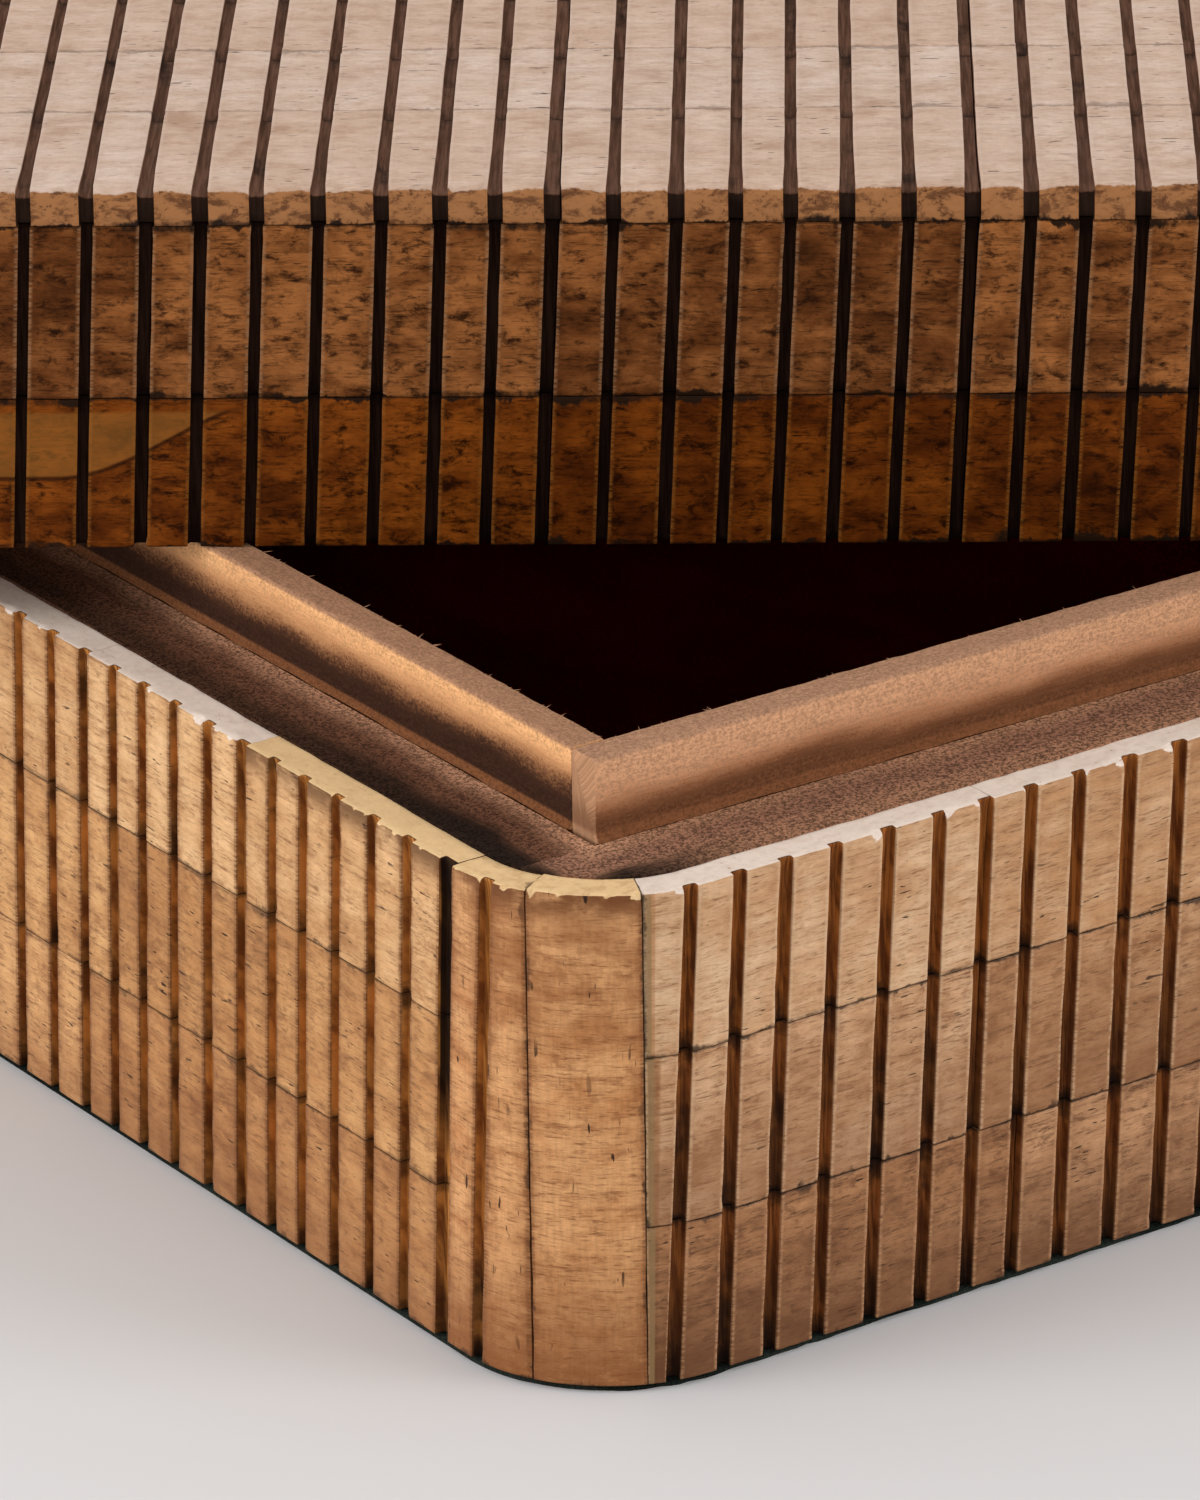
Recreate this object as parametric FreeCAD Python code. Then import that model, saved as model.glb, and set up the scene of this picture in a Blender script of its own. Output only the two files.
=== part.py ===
import FreeCAD, Part
import math
import os
from FreeCAD import Vector

# A keepsake box with a lift-off lid, clad in bone tiles that are saw-kerfed like a tambour.
# A wooden carcase carries the tiles. Four thin liner strips line the base and stand up
# above its wall as the lip that the lid drops over. The lid is taken off its seat: it lies
# askew across the lip, turned about the box's upright axis.
# Frame: millimetres, X along the length, front wall on -Y, Z up, origin under the middle.

os.makedirs("parts", exist_ok=True)

# Outside form
LENGTH = 278.0
WIDTH = 185.0
CORNER_RADIUS = 15.0
BASE_HEIGHT = 45.2
LID_HEIGHT = 32.8
LID_TURN = -35.8

# Layers of the wall, from the outside in
BONE = 3.4
LEDGE = 7.9
LIP = 3.5
LIP_RISE = 7.3
LID_CLEARANCE = 0.4

# Flat layers
BOARD = 5.0
FELT = 0.6
FELT_INSET = 0.4
PAD = 0.8
PAD_GAP = 0.3

# Saw kerfs across the tiles. The saw leaned, so every kerf leans to the right going up.
# Rows are measured along the top edge of a wall.
KERF_LEAN = math.tan(math.radians(2.8))
PITCH = 5.02
KERF_DEPTH = 1.0
BASE_KERF = 1.3
LID_KERF = 1.0
JOINT_KERF = 1.8
LONG_KERFS = 51
SHORT_KERFS = 29
FLANK_KERF = 3.7
FLANK_JOINT = 16.5

# The hand-set fence drifts in a beat of a few cuts: (shift of the row, phase of the beat)
BEAT = 5
SWAY = 0.3
BASE_LONG_ROW = (-0.6, 1.25)
BASE_SHORT_ROW = (-0.3, 3.25)
LID_LONG_ROW = (0.5, 0.75)
LID_SHORT_ROW = (0.0, 0.75)

# How the tiles are laid out
LONG_SEAMS = (14.9, 30.2)
SHORT_SEAMS = (14.8, 30.5)
COURSES = ("upper", "middle", "lower")
LONG_JOINTS = {"upper": 6, "middle": 6, "lower": 7}
SHORT_JOINTS = {"upper": 5, "middle": 6, "lower": 5}
LONG_STEP = 7
SHORT_STEP = 5
LONG_END_ANGLE = 23.5
SHORT_END_ANGLE = 29.0

# Cutting tools reach this far past the bone
REACH = 2.0

# Levels above the table
LIP_TOP = BASE_HEIGHT + LIP_RISE
LID_TOP = LIP_TOP + LID_HEIGHT
SKIRT_TOP = LID_TOP - BONE
BOARD_TOP = FELT + BOARD
LID_BOARD_UNDER = SKIRT_TOP - BOARD

# Each wall is laid out in its own frame, u along it and v inward from its outer face,
# then turned about Z: (turn, length of the wall, size of the box across it)
WALLS = {
    "front": (0, LENGTH, WIDTH),
    "right": (90, WIDTH, LENGTH),
    "back": (180, LENGTH, WIDTH),
    "left": (270, WIDTH, LENGTH),
}
LONG_WALLS = ("front", "back")
UP = Vector(0, 0, 1)
ORIGIN = Vector(0, 0, 0)


def on_wall(shape, wall):
    """Move a shape from a wall's own frame to its place on the box."""
    turn, _, across = WALLS[wall]
    placed = shape.copy()
    placed.translate(Vector(0, -across / 2, 0))
    placed.rotate(ORIGIN, UP, turn)
    return placed


def half_length(wall):
    return WALLS[wall][1] / 2


def block(x0, x1, y0, y1, z0, z1):
    return Part.makeBox(x1 - x0, y1 - y0, z1 - z0, Vector(x0, y0, z0))


def sheet(length, width, z0, z1):
    """Plain board centred on the upright axis."""
    return block(-length / 2, length / 2, -width / 2, width / 2, z0, z1)


def rounded_face(length, width, radius):
    """Flat rounded rectangle centred on the origin."""
    x = length / 2 - radius
    y = width / 2 - radius
    centres = ((-x, -y, 180), (x, -y, 270), (x, y, 0), (-x, y, 90))
    arcs = [Part.makeCircle(radius, Vector(cx, cy, 0), UP, a, a + 90) for cx, cy, a in centres]
    edges = []
    for i, arc in enumerate(arcs):
        following = arcs[(i + 1) % 4]
        edges.append(arc)
        edges.append(Part.makeLine(arc.Vertexes[-1].Point, following.Vertexes[0].Point))
    return Part.Face(Part.Wire(edges))


def rise(face, z0, z1):
    """Extrude a flat face between two levels."""
    solid = face.extrude(Vector(0, 0, z1 - z0))
    solid.translate(Vector(0, 0, z0))
    return solid


def rounded_block(inset, z0, z1):
    """The box's outline, moved inwards, between two levels."""
    face = rounded_face(LENGTH - 2 * inset, WIDTH - 2 * inset, CORNER_RADIUS - inset)
    return rise(face, z0, z1)


def polygon(points):
    corners = [Vector(u, v, 0) for u, v in points]
    return Part.Face(Part.makePolygon(corners + corners[:1]))


# ---- carcase: boards that butt at the corners, front and back running through ----

def frame_boards(inset, thick, z0, z1):
    x = LENGTH / 2 - inset
    y = WIDTH / 2 - inset
    return {
        "front": block(-x, x, -y, -y + thick, z0, z1),
        "back": block(-x, x, y - thick, y, z0, z1),
        "left": block(-x, -x + thick, -y + thick, y - thick, z0, z1),
        "right": block(x - thick, x, -y + thick, y - thick, z0, z1),
    }


def rounded_boards(inset, thick, z0, z1):
    """Boards of a frame whose outside follows the box's rounded corners."""
    outline = rounded_block(inset, z0, z1)
    boards = frame_boards(inset, thick, z0, z1)
    return {wall: board.common(outline) for wall, board in boards.items()}


# ---- saw kerfs ----
# s runs along a wall's face, and on round the corner past the flat of the wall.

def flat_half(wall):
    return half_length(wall) - CORNER_RADIUS


def cut_row(count, row):
    """Centres of a row of cuts."""
    shift, phase = row
    middle = (count - 1) / 2
    centres = []
    for i in range(count):
        drift = SWAY * math.sin(2 * math.pi * (i + phase) / BEAT)
        centres.append((i - middle) * PITCH + drift + shift)
    return centres


def wall_kerfs(wall, width, long_row, short_row):
    """(centre, width) of each kerf on a wall, from its -s end to its +s end."""
    if wall in LONG_WALLS:
        side = 1 if wall == "front" else -1
        return sorted((side * s, width) for s in cut_row(LONG_KERFS, long_row))
    kerfs = [(s, width) for s in cut_row(SHORT_KERFS, short_row)]
    for side in (-1, 1):
        kerfs.append((side * (flat_half(wall) + FLANK_KERF), width))
        kerfs.append((side * (half_length(wall) - FLANK_JOINT), JOINT_KERF))
    return sorted(kerfs)


def leaning_block(u0, u1, v1, z0, z1, top):
    """Block that leans with the kerfs, from outside the face to v1 behind it. Its sides are at
    u0 and u1 at the level top."""
    foot = KERF_LEAN * (top - z0)
    head = KERF_LEAN * (top - z1)
    corners = [(u0 - foot, z0), (u1 - foot, z0), (u1 - head, z1), (u0 - head, z1)]
    points = [Vector(u, -REACH, z) for u, z in corners]
    outline = Part.Face(Part.makePolygon(points + points[:1]))
    return outline.extrude(Vector(0, v1 + REACH, 0))


def saw_cut(wall, s, width, z0, z1):
    """One pass of the saw, square to the face, also where the face turns round a corner."""
    side = 1 if s > 0 else -1
    past = max(0, abs(s) - flat_half(wall))
    u = s - side * past
    tool = leaning_block(u - width / 2, u + width / 2, KERF_DEPTH, z0 - REACH, z1 + REACH, z1)
    centre = Vector(side * flat_half(wall), CORNER_RADIUS, 0)
    tool.rotate(centre, UP, side * math.degrees(past / CORNER_RADIUS))
    return on_wall(tool, wall)


def cladding_ring(kerfs, z0, z1):
    """The bone skin all round the box between two levels, notched by every kerf."""
    outer = rounded_face(LENGTH, WIDTH, CORNER_RADIUS)
    inner = rounded_face(LENGTH - 2 * BONE, WIDTH - 2 * BONE, CORNER_RADIUS - BONE)
    tools = [saw_cut(wall, s, width, z0, z1) for wall in WALLS for s, width in kerfs[wall]]
    return rise(outer.cut(inner), z0, z1).cut(Part.makeCompound(tools))


# ---- the parts of the ring that each tile keeps ----

def arc_point(wall, angle, reach):
    """Point out from the centre of the wall's +u corner, angle from the wall's normal."""
    a = math.radians(angle)
    return flat_half(wall) + reach * math.sin(a), CORNER_RADIUS - reach * math.cos(a)


def mirrored(points, side):
    return [(side * u, v) for u, v in points]


def wall_part(wall, ring, z0, z1):
    """A wall's share of the ring, from radial joint to radial joint."""
    angle = LONG_END_ANGLE if wall in LONG_WALLS else SHORT_END_ANGLE
    centre = arc_point(wall, 0, 0)
    tip = arc_point(wall, angle, CORNER_RADIUS + 2 * REACH)
    plan = polygon(mirrored([centre, tip], -1) + [tip, centre])
    return ring.common(rise(on_wall(plan, wall), z0, z1))


def corner_tile(wall, side, ring, z0, z1):
    """The tile between the two radial joints of a corner, seen from its long wall."""
    reach = CORNER_RADIUS + 2 * REACH
    first = arc_point(wall, LONG_END_ANGLE, reach)
    second = arc_point(wall, 90 - SHORT_END_ANGLE, reach)
    plan = polygon(mirrored([arc_point(wall, 0, 0), first, second], side))
    return ring.common(rise(on_wall(plan, wall), z0, z1))


def joint_places(kerfs, first, step):
    """Tiles meet at the +s side of every few kerfs, so that the kerf hides the joint."""
    return [kerfs[i][0] + kerfs[i][1] / 2 for i in range(first, len(kerfs) - first, step)]


def flank_joint(wall):
    """Where the flank tile of a short wall starts, from the middle of the wall."""
    return half_length(wall) - FLANK_JOINT + JOINT_KERF / 2


def keep(wall, part, s0, s1, z0, z1, top):
    """The piece of a wall's cladding between two leaning joints. The side of the kerf at a
    joint and the tile's end below it are one face."""
    between = on_wall(leaning_block(s0, s1, CORNER_RADIUS, z0, z1, top), wall)
    return part.common(between).removeSplitter()


def wall_tiles(wall, part, kerfs, first, step, z0, z1, top):
    """One course of tiles along a wall."""
    joints = joint_places(kerfs, first, step)
    end = half_length(wall) + REACH if wall in LONG_WALLS else flank_joint(wall)
    edges = [-end] + joints + [end]
    return [keep(wall, part, s0, s1, z0, z1, top) for s0, s1 in zip(edges, edges[1:])]


def end_tiles(end, ring, part, z0, z1):
    """Both corner tiles at one end of the box, each with the flank tile that stands beside
    it on the short wall. They run the full height."""
    front_side = 1 if end == "right" else -1
    joint, far = flank_joint(end), half_length(end) + REACH
    return [
        corner_tile("front", front_side, ring, z0, z1),
        corner_tile("back", -front_side, ring, z0, z1),
        keep(end, part, -far, -joint, z0, z1, z1),
        keep(end, part, joint, far, z0, z1, z1),
    ]


# ---- the two halves of the box ----

def solids_of(shapes):
    """Every solid of a list of shapes, as one compound."""
    solids = []
    for shape in shapes:
        solids += [solid for solid in shape.Solids]
    return Part.makeCompound(solids)


def base_cladding():
    kerfs = {w: wall_kerfs(w, BASE_KERF, BASE_LONG_ROW, BASE_SHORT_ROW) for w in WALLS}
    ring = cladding_ring(kerfs, FELT, BASE_HEIGHT)
    parts = {wall: wall_part(wall, ring, FELT, BASE_HEIGHT) for wall in WALLS}
    nodes = {}
    for wall in WALLS:
        long_wall = wall in LONG_WALLS
        seams = LONG_SEAMS if long_wall else SHORT_SEAMS
        firsts = LONG_JOINTS if long_wall else SHORT_JOINTS
        step = LONG_STEP if long_wall else SHORT_STEP
        levels = [BASE_HEIGHT] + [BASE_HEIGHT - seam for seam in seams] + [FELT]
        for course, z1, z0 in zip(COURSES, levels, levels[1:]):
            tiles = wall_tiles(
                wall, parts[wall], kerfs[wall], firsts[course], step, z0, z1, BASE_HEIGHT)
            nodes["base_bone_" + wall + "_" + course] = solids_of(tiles)
    for end in ("left", "right"):
        tiles = end_tiles(end, ring, parts[end], FELT, BASE_HEIGHT)
        nodes["base_bone_corners_" + end] = solids_of(tiles)
    return nodes


def base_nodes():
    nodes = base_cladding()
    for wall, board in rounded_boards(BONE, LEDGE, FELT, BASE_HEIGHT).items():
        nodes["base_core_" + wall] = board
    inset = BONE + LEDGE
    nodes["base_bottom_board"] = sheet(LENGTH - 2 * inset, WIDTH - 2 * inset, FELT, BOARD_TOP)
    for wall, strip in frame_boards(inset, LIP, BOARD_TOP, LIP_TOP).items():
        nodes["base_lip_" + wall] = strip
    inset += LIP + PAD_GAP
    nodes["base_floor_pad"] = sheet(
        LENGTH - 2 * inset, WIDTH - 2 * inset, BOARD_TOP, BOARD_TOP + PAD)
    nodes["base_foot_felt"] = rounded_block(FELT_INSET, 0, FELT)
    return nodes


def lid_top_tiles(kerfs):
    """Top tiles: the kerfs run front to back and out through both edges of the tiles."""
    depth = REACH + KERF_DEPTH
    notches = [
        on_wall(Part.makePlane(width, depth, Vector(s - width / 2, -REACH, 0)), wall)
        for wall in LONG_WALLS for s, width in kerfs[wall]]
    plan = rounded_face(LENGTH, WIDTH, CORNER_RADIUS).cut(Part.makeCompound(notches))
    joints = joint_places(kerfs["front"], LONG_JOINTS["upper"], LONG_STEP)
    edges = [-LENGTH / 2] + joints + [LENGTH / 2]
    tiles = []
    for x0, x1 in zip(edges, edges[1:]):
        strip = Part.makePlane(x1 - x0, WIDTH, Vector(x0, -WIDTH / 2, 0))
        tile = rise(plan.common(strip), SKIRT_TOP, LID_TOP)
        saws = [
            block(u - w / 2, u + w / 2, -WIDTH, WIDTH, LID_TOP - KERF_DEPTH, LID_TOP + REACH)
            for u, w in kerfs["front"] if x0 < u < x1]
        tiles.append(tile.cut(Part.makeCompound(saws)).removeSplitter())
    return tiles


def lid_cladding():
    kerfs = {w: wall_kerfs(w, LID_KERF, LID_LONG_ROW, LID_SHORT_ROW) for w in WALLS}
    ring = cladding_ring(kerfs, LIP_TOP, SKIRT_TOP)
    parts = {wall: wall_part(wall, ring, LIP_TOP, SKIRT_TOP) for wall in WALLS}
    nodes = {"lid_bone_top": solids_of(lid_top_tiles(kerfs))}
    for wall in WALLS:
        long_wall = wall in LONG_WALLS
        firsts = LONG_JOINTS if long_wall else SHORT_JOINTS
        step = LONG_STEP if long_wall else SHORT_STEP
        tiles = wall_tiles(
            wall, parts[wall], kerfs[wall], firsts["upper"], step, LIP_TOP, SKIRT_TOP, SKIRT_TOP)
        nodes["lid_bone_" + wall] = solids_of(tiles)
    for end in ("left", "right"):
        tiles = end_tiles(end, ring, parts[end], LIP_TOP, SKIRT_TOP)
        nodes["lid_bone_corners_" + end] = solids_of(tiles)
    return nodes


def lid_nodes():
    """The lid is built square on the box, its rim at the level of the lip's top, then turned."""
    nodes = lid_cladding()
    thick = LEDGE - LID_CLEARANCE
    for wall, board in rounded_boards(BONE, thick, LIP_TOP, SKIRT_TOP).items():
        nodes["lid_core_" + wall] = board
    inset = BONE + thick
    nodes["lid_top_board"] = sheet(
        LENGTH - 2 * inset, WIDTH - 2 * inset, LID_BOARD_UNDER, SKIRT_TOP)
    inset += PAD_GAP
    nodes["lid_lining"] = sheet(
        LENGTH - 2 * inset, WIDTH - 2 * inset, LID_BOARD_UNDER - PAD, LID_BOARD_UNDER)
    for shape in nodes.values():
        shape.rotate(ORIGIN, UP, LID_TURN)
    return nodes


def main():
    nodes = base_nodes()
    nodes.update(lid_nodes())
    for name, shape in nodes.items():
        shape.exportStep("parts/" + name + ".step")


main()
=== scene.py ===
import math

import bpy
import numpy as np
from mathutils import Matrix, Vector


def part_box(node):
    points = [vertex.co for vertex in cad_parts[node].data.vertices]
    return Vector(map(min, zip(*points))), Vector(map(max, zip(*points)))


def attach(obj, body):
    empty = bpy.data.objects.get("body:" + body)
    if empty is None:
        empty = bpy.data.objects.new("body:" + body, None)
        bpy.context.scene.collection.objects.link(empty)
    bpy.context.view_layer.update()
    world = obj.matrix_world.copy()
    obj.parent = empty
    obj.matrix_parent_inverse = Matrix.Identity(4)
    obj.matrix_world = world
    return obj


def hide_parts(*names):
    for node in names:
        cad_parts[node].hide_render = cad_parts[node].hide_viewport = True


# A keepsake box clad in saw-kerfed bone tiles, its lid lying askew across the raised lip.
# The tiles, lip strips, felt and velvet are modelled here over the CAD frame. Lengths are in
# millimetres until a mesh is made.

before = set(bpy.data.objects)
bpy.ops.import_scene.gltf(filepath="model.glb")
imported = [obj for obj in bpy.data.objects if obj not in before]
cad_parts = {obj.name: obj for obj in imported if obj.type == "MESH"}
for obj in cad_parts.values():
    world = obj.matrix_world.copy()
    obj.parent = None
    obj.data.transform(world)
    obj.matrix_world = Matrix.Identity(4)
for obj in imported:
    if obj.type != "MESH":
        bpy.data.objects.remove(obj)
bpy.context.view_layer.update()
MM = 0.001


def box_mm(node):
    return [[value / MM for value in corner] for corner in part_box(node)]


# ---- sizes, read from the frame ----

CORNERS = box_mm("base_bone_corners_left")
CORE = box_mm("base_core_front")
STRIP = box_mm("base_lip_front")
LENGTH = -2 * CORNERS[0][0]
WIDTH = -2 * box_mm("base_bone_front_upper")[0][1]
FELT = CORNERS[0][2]
BASE_TOP = CORNERS[1][2]
BONE = LENGTH / 2 - CORE[1][0]
LEDGE = CORE[1][1] - CORE[0][1]
LIP = STRIP[1][1] - STRIP[0][1]
BOARD_TOP = STRIP[0][2]
LIP_TOP = STRIP[1][2]
SKIRT_TOP = box_mm("lid_bone_top")[0][2]
LID_TOP = box_mm("lid_bone_top")[1][2]
LID_BOARD_UNDER = box_mm("lid_top_board")[0][2]
PAD = box_mm("base_floor_pad")[1][2] - BOARD_TOP
FELT_INSET = box_mm("base_foot_felt")[0][0] + LENGTH / 2
CORE_INSET = BONE + LEDGE
LIP_INSET = CORE_INSET + LIP

# ---- the layout of the cladding, as in the CAD source ----

CORNER_RADIUS = 15.0
LID_TURN = math.radians(-35.8)
LID_CLEARANCE = 0.4
PAD_GAP = 0.3
KERF_LEAN = math.tan(math.radians(2.8))
PITCH = 5.02
KERF_DEPTH = 1.0
BASE_KERF = 1.3
LID_KERF = 1.0
JOINT_KERF = 1.8
LONG_KERFS = 51
SHORT_KERFS = 29
FLANK_KERF = 3.7
FLANK_JOINT = 16.5
BEAT = 5
SWAY = 0.3
BASE_ROWS = {"long": (-0.6, 1.25), "short": (-0.3, 3.25)}
LID_ROWS = {"long": (0.5, 0.75), "short": (0.0, 0.75)}
COURSES = ("upper", "middle", "lower")
SEAMS = {"long": (14.9, 30.2), "short": (14.8, 30.5)}
LID_SEAM = 15.7
# The first kerf with a joint, and how many kerfs there are to the next, of each course.
JOINTS = {"long": ((6, 7), (6, 7), (7, 7)), "short": ((5, 5), (6, 5), (5, 5))}
LONG_END_ANGLE = math.radians(23.5)
SHORT_END_ANGLE = math.radians(29.0)
TOP_END_ROW = 20.0
TOP_ROWS = 9
WEDGE = (7.3, -103, -83)

WALLS = {
    "front": (0, LENGTH, WIDTH),
    "right": (90, WIDTH, LENGTH),
    "back": (180, LENGTH, WIDTH),
    "left": (270, WIDTH, LENGTH),
}
LONG_WALLS = ("front", "back")
ENDS = ("left", "right")

# ---- how worn the tiles are ----

HAIRLINE = 0.05
ARRIS = 0.06
ARRIS_DROP = 0.04
PALE_EDGE = 0.42
SCORCH_WIDTH = 1.1
WIDTH_SPREAD = 0.14
KERF_ROUND = 0.17
KERF_SIDE = 0.05
KERF_FLOOR = 0.24
SIDE_STEP = 0.03
SKIN_DEEP = 0.015
BACK_GAP = 0.03
BACK_ROUGH = 0.08
ROW_NEAR = (0.0, 0.06, 0.45, 1.1)
ROW_DROP = (0.04, 0.0)
RIM_DROP = (0.12, 0.02)
RIM_STEPS = (0.05, 0.16, 0.35, 0.58, 0.80, 0.95)
RIM_REACH = 0.8
RIM_SAG = 0.10
RIM_DISH = 0.12
CHIP = 0.55
CHIP_LENGTH = 0.9
NICK = 0.06
RIPPLE = 0.015
WOBBLE = 0.015
FRAY = 0.02
SHALLOW = 0.45
SHALLOW_REACH = 1.2
FLARE = 0.15
FLARE_REACH = 4.0
EDGE_SIDE = 0.6
DULL_STRIP = 0.8
TOP_TONES = 0.35
TOP_INSET = 0.02
CHARRED = 4
IVORY_SHARE = 0.34
# Seeds of the random draws. TONE_SALT was searched for, so that some twenty tiles beside the
# seen corner come out as light or dark as in the photograph. Any other number would do.
TONE_SALT = 1342306
IVORY_SALT = 59
GRAIN_STEP = 7.31
CHIP_STEP = 3.7

# ---- how finely the tiles are meshed, along the face and up it ----

RIM_GAP = 0.8
CORNER_GAP = 1.2
FACE_GAP = 1.5
TOP_GAP = 1.6
ROW_GAP = 2.6
TOP_ROW_GAP = 4.2
SHARP_ANGLE = math.radians(40)

# ---- camera, from a perspective fit ----

CAM_ELEVATION = math.radians(23.02)
CAM_YAW = math.radians(34.49)
CAM_ROLL = math.radians(-0.82)
CAM_DISTANCE = 0.7799
CAM_RIGHT = -0.00328
CAM_UP = -0.01404
FOCAL_PX = 9700.0
IMAGE_HEIGHT_PX = 1500.0
SENSOR = 36.0
NEAR_CORNER = Vector((-LENGTH / 2, -WIDTH / 2, BASE_TOP)) * MM


# ---- repeatable roughness ----

def lattice(i, j, seed):
    """A random number from 0 to 1 for each point of a grid, the same on every run."""
    n = (i * 73856093) ^ (j * 19349663) ^ (seed * 83492791)
    n = (n & 0x7FFFFFFF) * 1274126177 & 0x7FFFFFFF
    n = (n ^ (n >> 13)) * 1103515245 & 0x7FFFFFFF
    return (n >> 8 & 0xFFFF) / 0xFFFF


def rough(a, b, seed):
    """Smooth noise from -1 to 1 over a plane, with features one unit wide."""
    a, b = np.broadcast_arrays(np.asarray(a, float), np.asarray(b, float))
    i = np.floor(a).astype(np.int64)
    j = np.floor(b).astype(np.int64)
    f = a - i
    g = b - j
    f = f * f * (3 - 2 * f)
    g = g * g * (3 - 2 * g)
    low = lattice(i, j, seed) * (1 - f) + lattice(i + 1, j, seed) * f
    high = lattice(i, j + 1, seed) * (1 - f) + lattice(i + 1, j + 1, seed) * f
    return 2 * (low * (1 - g) + high * g) - 1


def pick(seed, salt=0):
    """One repeatable random number from 0 to 1."""
    return float(lattice(np.int64(seed), np.int64(salt), 5))


# ---- meshes ----

def placed(name, data):
    """A new object in the scene."""
    thing = bpy.data.objects.new(name, data)
    bpy.context.scene.collection.objects.link(thing)
    return thing


class Loops:
    """A mesh gathered from bars, each a row of closed loops with both ends capped.
    Every point carries three vectors that the materials read:
    grain  way along the face, way up it (mm), and the number of the piece
    marks  kerf 0-1 or 5 where charred, distance to the nearest joint (mm), nearness to a
           bare edge 0-1
    cast   tone of the piece, 2 more where it is dull, ivory tint 0-1, and 1 on a rim or an
           end"""

    def __init__(self, turn=0.0):
        self.turn = turn
        self.points = []
        self.vectors = {"grain": [], "marks": [], "cast": []}
        self.faces = []
        self.count = 0

    def bar(self, points, grain, marks, cast):
        columns, ring = points.shape[:2]
        index = np.arange(columns * ring).reshape(columns, ring) + self.count
        ahead = np.roll(index, -1, axis=1)
        quads = np.stack([index[:-1], index[1:], ahead[1:], ahead[:-1]], axis=-1)
        self.faces += quads.reshape(-1, 4).tolist()
        self.faces.append(index[0].tolist())
        self.faces.append(index[-1][::-1].tolist())
        self.points.append(points.reshape(-1, 3))
        for name, values in (("grain", grain), ("marks", marks), ("cast", cast)):
            spread = np.broadcast_to(values, (columns, ring, 3))
            self.vectors[name].append(spread.reshape(-1, 3))
        self.count += columns * ring

    def made(self, name, material):
        """The finished object, turned about Z and in metres."""
        x, y, z = np.concatenate(self.points).T
        points = vector(*turned(x, y, self.turn), z) * MM
        mesh = bpy.data.meshes.new(name)
        mesh.from_pydata(points.tolist(), [], self.faces)
        for key, values in self.vectors.items():
            layer = mesh.attributes.new(key, "FLOAT_VECTOR", "POINT")
            layer.data.foreach_set("vector", np.concatenate(values).astype(np.float32).ravel())
        mesh.materials.append(material)
        mesh.shade_smooth()
        mesh.set_sharp_from_angle(angle=SHARP_ANGLE)
        return placed(name, mesh)


def vector(*parts):
    """Three arrays, broadcast together, as one array of vectors."""
    return np.stack(np.broadcast_arrays(*parts), axis=-1)


def joined(*parts):
    """Arrays set side by side, as more points of each loop."""
    return np.concatenate(parts, axis=1)


def turned(x, y, angle):
    c, s = math.cos(angle), math.sin(angle)
    return x * c - y * s, x * s + y * c


# ---- the layout of tiles and kerfs ----

def kind(wall):
    return "long" if wall in LONG_WALLS else "short"


def half_length(wall):
    return WALLS[wall][1] / 2


def flat_half(wall):
    return half_length(wall) - CORNER_RADIUS


def own_width(centre, width, salt):
    """Each cut comes out a little wider or narrower than the next."""
    return width * (1.0 + WIDTH_SPREAD * pick(round(centre * 10), salt))


def cut_row(count, row):
    """Centres of a row of saw cuts, which drift in a beat of a few cuts."""
    shift, phase = row
    middle = (count - 1) / 2
    return [(i - middle) * PITCH + SWAY * math.sin(2 * math.pi * (i + phase) / BEAT) + shift
            for i in range(count)]


def wall_kerfs(wall, width, rows):
    """(centre, width) of each kerf along a wall's face, from its -s end to its +s end."""
    salt = len(wall) + round(10 * width)
    if wall in LONG_WALLS:
        side = 1 if wall == "front" else -1
        centres = [side * u for u in cut_row(LONG_KERFS, rows["long"])]
        return sorted((c, own_width(c, width, salt)) for c in centres)
    centres = cut_row(SHORT_KERFS, rows["short"])
    centres += [side * (flat_half(wall) + FLANK_KERF) for side in (-1, 1)]
    kerfs = [(c, own_width(c, width, salt)) for c in centres]
    kerfs += [(side * (half_length(wall) - FLANK_JOINT), JOINT_KERF) for side in (-1, 1)]
    return sorted(kerfs)


def joint_places(wall, kerfs, course):
    """Tiles meet at the +s side of every few kerfs, so that the kerf hides the joint."""
    first, step = JOINTS[kind(wall)][course]
    return [kerfs[i][0] + kerfs[i][1] / 2 for i in range(first, len(kerfs) - first, step)]


def course_spans(wall, kerfs, course):
    """(s0, s1) of every tile in one course of a wall."""
    if wall in LONG_WALLS:
        reach = flat_half(wall) + CORNER_RADIUS * LONG_END_ANGLE
    else:
        reach = half_length(wall) - FLANK_JOINT + JOINT_KERF / 2
    joints = [-reach] + joint_places(wall, kerfs, course) + [reach]
    return list(zip(joints, joints[1:]))


# ---- stations across a row of kerfs ----

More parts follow.
